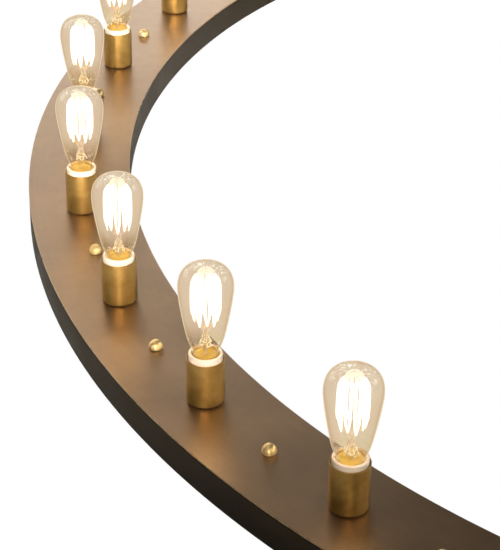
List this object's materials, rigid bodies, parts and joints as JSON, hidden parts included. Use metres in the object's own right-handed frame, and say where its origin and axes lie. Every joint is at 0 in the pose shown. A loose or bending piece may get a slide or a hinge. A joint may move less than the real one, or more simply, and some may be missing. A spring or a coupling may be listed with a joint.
{
  "type": "curved light bar",
  "caption": "Curved face-up light bar: bronze arc plate on dark side walls, upright brass socket cups with porcelain lampholders, cage-filament bulbs and brass cap nuts between them.",
  "frame": {"origin": "centre of the footprint, on the back plane that the rail and the wall edges rest on", "axes": "+X along the chord towards lamp 1's end, +Z out of the face plate along the bulbs, -Y towards the convex side"},
  "size_m": [1.9758, 0.5246, 0.221],
  "materials": {
    "bronze_plate": "satin brown bronze patina, lightly brushed, with a thin bright worn edge",
    "dark_walls": "satin dark brown-black powder coat",
    "antique_brass": "satin antique brass, turned",
    "nut_brass": "polished brass",
    "porcelain": "white glazed porcelain",
    "cap_brass": "bright plated brass screw shell",
    "bulb_glass": "clear glass with a faint amber tint",
    "filament": "lit tungsten filament on a glass stem",
    "zinc_steel": "zinc-plated steel",
    "wire_insulation": "matt insulation sleeving",
    "connector_red": "moulded twist-on connector",
    "connector_grey": "moulded twist-on connector",
    "nylon": "black nylon",
    "ground_green": "green passivated screw"
  },
  "bodies": {
    "bar": {"face_plate": "bronze_plate", "outer_side_wall": "dark_walls", "inner_side_wall": "dark_walls", "end_cap_right": "dark_walls", "end_cap_left": "dark_walls", "mounting_rail": "zinc_steel", "wire_harness": "wire_insulation", "wire_connector_live": "connector_red", "wire_connector_neutral": "connector_grey", "inlet_bushing": "nylon", "ground_screw": "ground_green", "cap_nut_1": "nut_brass", "cap_nut_2": "nut_brass", "cap_nut_3": "nut_brass", "cap_nut_4": "nut_brass", "cap_nut_5": "nut_brass", "cap_nut_6": "nut_brass", "cap_nut_7": "nut_brass", "cap_nut_8": "nut_brass", "cap_nut_9": "nut_brass", "socket_cup_1": "antique_brass", "socket_cup_2": "antique_brass", "socket_cup_3": "antique_brass", "socket_cup_4": "antique_brass", "socket_cup_5": "antique_brass", "socket_cup_6": "antique_brass", "socket_cup_7": "antique_brass", "socket_cup_8": "antique_brass", "lampholder_1": "porcelain", "lampholder_2": "porcelain", "lampholder_3": "porcelain", "lampholder_4": "porcelain", "lampholder_5": "porcelain", "lampholder_6": "porcelain", "lampholder_7": "porcelain", "lampholder_8": "porcelain"},
    "bulb_1": {"bulb_cap_1": "cap_brass", "bulb_glass_1": "bulb_glass", "bulb_filament_1": "filament"},
    "bulb_2": {"bulb_cap_2": "cap_brass", "bulb_glass_2": "bulb_glass", "bulb_filament_2": "filament"},
    "bulb_3": {"bulb_cap_3": "cap_brass", "bulb_glass_3": "bulb_glass", "bulb_filament_3": "filament"},
    "bulb_4": {"bulb_cap_4": "cap_brass", "bulb_glass_4": "bulb_glass", "bulb_filament_4": "filament"},
    "bulb_5": {"bulb_cap_5": "cap_brass", "bulb_glass_5": "bulb_glass", "bulb_filament_5": "filament"},
    "bulb_6": {"bulb_cap_6": "cap_brass", "bulb_glass_6": "bulb_glass", "bulb_filament_6": "filament"},
    "bulb_7": {"bulb_cap_7": "cap_brass", "bulb_glass_7": "bulb_glass", "bulb_filament_7": "filament"},
    "bulb_8": {"bulb_cap_8": "cap_brass", "bulb_glass_8": "bulb_glass", "bulb_filament_8": "filament"}
  },
  "joints": [
    {"name": "bulb_1_unscrew", "type": "slide", "parent": "bar", "child": "bulb_1", "axis": [0, 0, 1], "range_m": [0, 0.03]},
    {"name": "bulb_2_unscrew", "type": "slide", "parent": "bar", "child": "bulb_2", "axis": [0, 0, 1], "range_m": [0, 0.03]},
    {"name": "bulb_3_unscrew", "type": "slide", "parent": "bar", "child": "bulb_3", "axis": [0, 0, 1], "range_m": [0, 0.03]},
    {"name": "bulb_4_unscrew", "type": "slide", "parent": "bar", "child": "bulb_4", "axis": [0, 0, 1], "range_m": [0, 0.03]},
    {"name": "bulb_5_unscrew", "type": "slide", "parent": "bar", "child": "bulb_5", "axis": [0, 0, 1], "range_m": [0, 0.03]},
    {"name": "bulb_6_unscrew", "type": "slide", "parent": "bar", "child": "bulb_6", "axis": [0, 0, 1], "range_m": [0, 0.03]},
    {"name": "bulb_7_unscrew", "type": "slide", "parent": "bar", "child": "bulb_7", "axis": [0, 0, 1], "range_m": [0, 0.03]},
    {"name": "bulb_8_unscrew", "type": "slide", "parent": "bar", "child": "bulb_8", "axis": [0, 0, 1], "range_m": [0, 0.03]}
  ]
}
